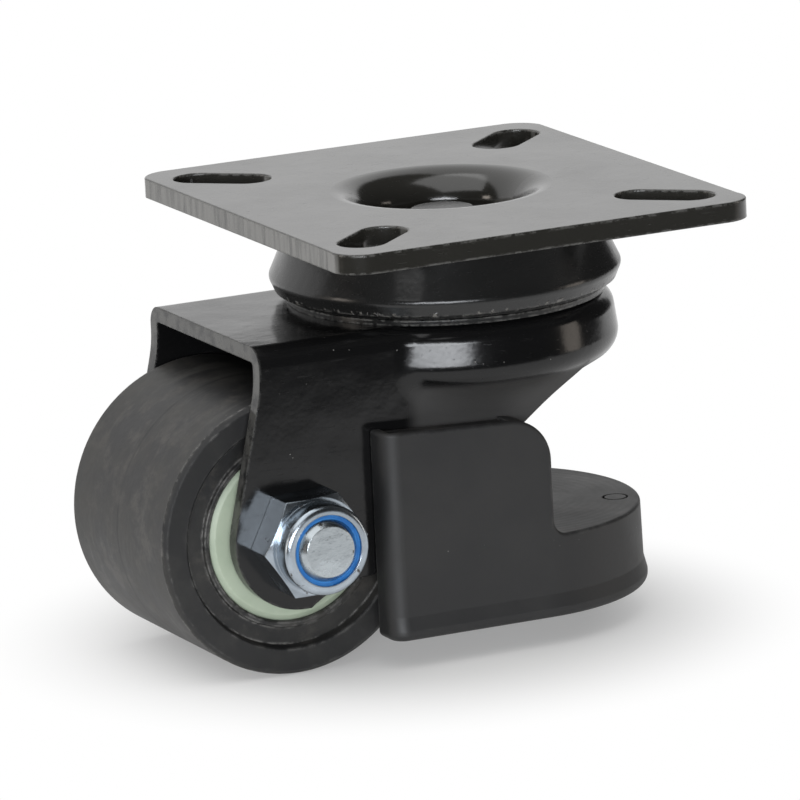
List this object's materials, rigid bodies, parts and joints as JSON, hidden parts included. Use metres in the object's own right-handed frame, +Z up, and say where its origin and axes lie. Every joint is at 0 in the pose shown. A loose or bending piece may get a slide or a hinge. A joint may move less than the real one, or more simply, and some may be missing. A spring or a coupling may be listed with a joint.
{
  "type": "swivel castor with foot pedal",
  "caption": "Low plate-mounted swivel castor with slotted top plate, drawn steel fork, wide solid wheel on ball bearings and a moulded foot pedal behind the wheel",
  "frame": {"origin": "on the swivel axis, in the flat top face of the mounting plate", "axes": "+Z up out of the plate's mounting face, X along the rolling direction with the wheel trailing towards -X, Y along the wheel axle with the lock nut towards -Y"},
  "size_m": [0.1351, 0.1142, 0.1005],
  "materials": {
    "black_steel": "gloss black coating",
    "race_steel": "hardened and ground",
    "zinc_steel": "bright zinc",
    "blue_nylon": "satin",
    "cover_plastic": "satin",
    "wheel_plastic": "satin moulded",
    "pedal_plastic": "fine matt moulded"
  },
  "bodies": {
    "plate": {"top_plate": "black_steel", "race_cup": "black_steel", "kingpin": "black_steel", "lower_race": "race_steel"},
    "fork_body": {"fork": "black_steel", "crown_race": "race_steel", "upper_balls": "race_steel", "lower_balls": "race_steel", "axle_bolt": "zinc_steel", "lock_nut": "zinc_steel", "nut_insert": "blue_nylon", "axle_sleeve": "zinc_steel", "bearing_inner_near": "race_steel", "bearing_inner_far": "race_steel", "pedal_pin": "zinc_steel"},
    "wheel_body": {"wheel": "wheel_plastic", "bearing_outer_near": "race_steel", "bearing_outer_far": "race_steel", "bearing_balls_near": "race_steel", "bearing_balls_far": "race_steel", "bearing_cover_near": "cover_plastic", "bearing_cover_far": "cover_plastic"},
    "pedal": {"brake_pedal": "pedal_plastic"}
  },
  "joints": [
    {"name": "swivel", "type": "hinge", "parent": "plate", "child": "fork_body", "pos_m": [0, 0, -0.02], "axis": [0, 0, 1], "continuous": true},
    {"name": "wheel_spin", "type": "hinge", "parent": "fork_body", "child": "wheel_body", "pos_m": [-0.0522, 0, -0.0685], "axis": [0, 1, 0], "continuous": true},
    {"name": "pedal_tilt", "type": "hinge", "parent": "fork_body", "child": "pedal", "pos_m": [-0.01, 0, -0.053], "axis": [0, 1, 0], "range_deg": [0, 4]}
  ]
}
